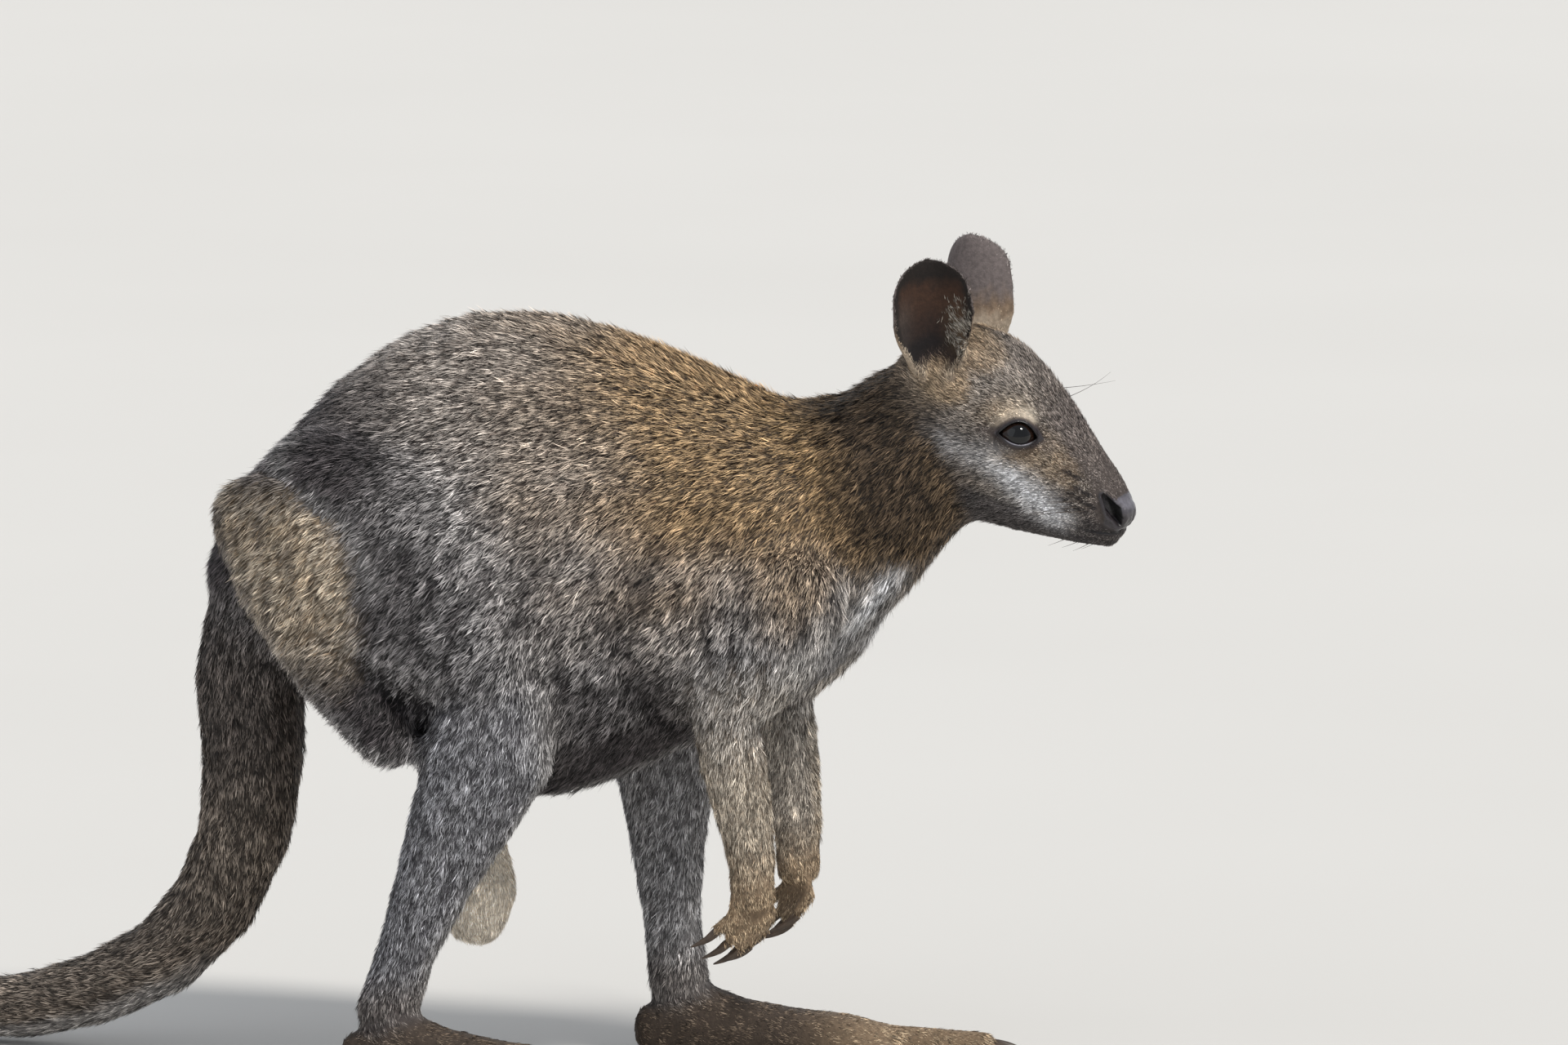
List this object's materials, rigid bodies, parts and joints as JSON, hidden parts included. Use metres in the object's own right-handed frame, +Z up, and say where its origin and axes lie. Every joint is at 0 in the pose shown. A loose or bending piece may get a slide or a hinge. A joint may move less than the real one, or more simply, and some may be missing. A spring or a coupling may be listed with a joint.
{
  "type": "red-necked wallaby",
  "caption": "Life-size still model of an adult red-necked wallaby, standing alert on its hind feet with hands hanging and its tail laid on the floor.",
  "frame": {"origin": "on the floor, below the middle of the animal's bounding box", "axes": "+X toward the nose, +Y toward the animal's left, +Z up"},
  "size_m": [0.9612, 0.217, 0.4757],
  "materials": {
    "coat": "matt fur",
    "rufous_coat": "matt fur",
    "face_coat": "matt short fur",
    "ear_coat": "matt short fur",
    "paw_coat": "matt short fur",
    "pale_coat": "matt fur",
    "nose_skin": "moist",
    "eye": "glossy",
    "horn": "satin"
  },
  "bodies": {
    "root": {"head": "face_coat", "lower_jaw": "face_coat", "nose": "nose_skin", "eye_right": "eye", "eye_left": "eye", "ear_right": "ear_coat", "ear_left": "ear_coat", "upper_arm_right": "coat", "forearm_right": "coat", "hand_right": "paw_coat", "claw_hand_right_1": "horn", "claw_hand_right_2": "horn", "claw_hand_right_3": "horn", "claw_hand_right_4": "horn", "claw_hand_right_5": "horn", "upper_arm_left": "coat", "forearm_left": "coat", "hand_left": "paw_coat", "claw_hand_left_1": "horn", "claw_hand_left_2": "horn", "claw_hand_left_3": "horn", "claw_hand_left_4": "horn", "claw_hand_left_5": "horn", "thigh_right": "coat", "shank_right": "coat", "foot_right": "paw_coat", "claw_foot_right_long": "horn", "claw_foot_right_outer": "horn", "claw_foot_right_grooming_1": "horn", "claw_foot_right_grooming_2": "horn", "thigh_left": "coat", "shank_left": "coat", "foot_left": "paw_coat", "claw_foot_left_long": "horn", "claw_foot_left_outer": "horn", "claw_foot_left_grooming_1": "horn", "claw_foot_left_grooming_2": "horn", "trunk": "coat", "neck": "rufous_coat", "scrotum": "pale_coat", "tail_1": "coat", "tail_2": "coat", "tail_3": "coat", "tail_4": "coat", "tail_5": "coat"}
  },
  "joints": []
}
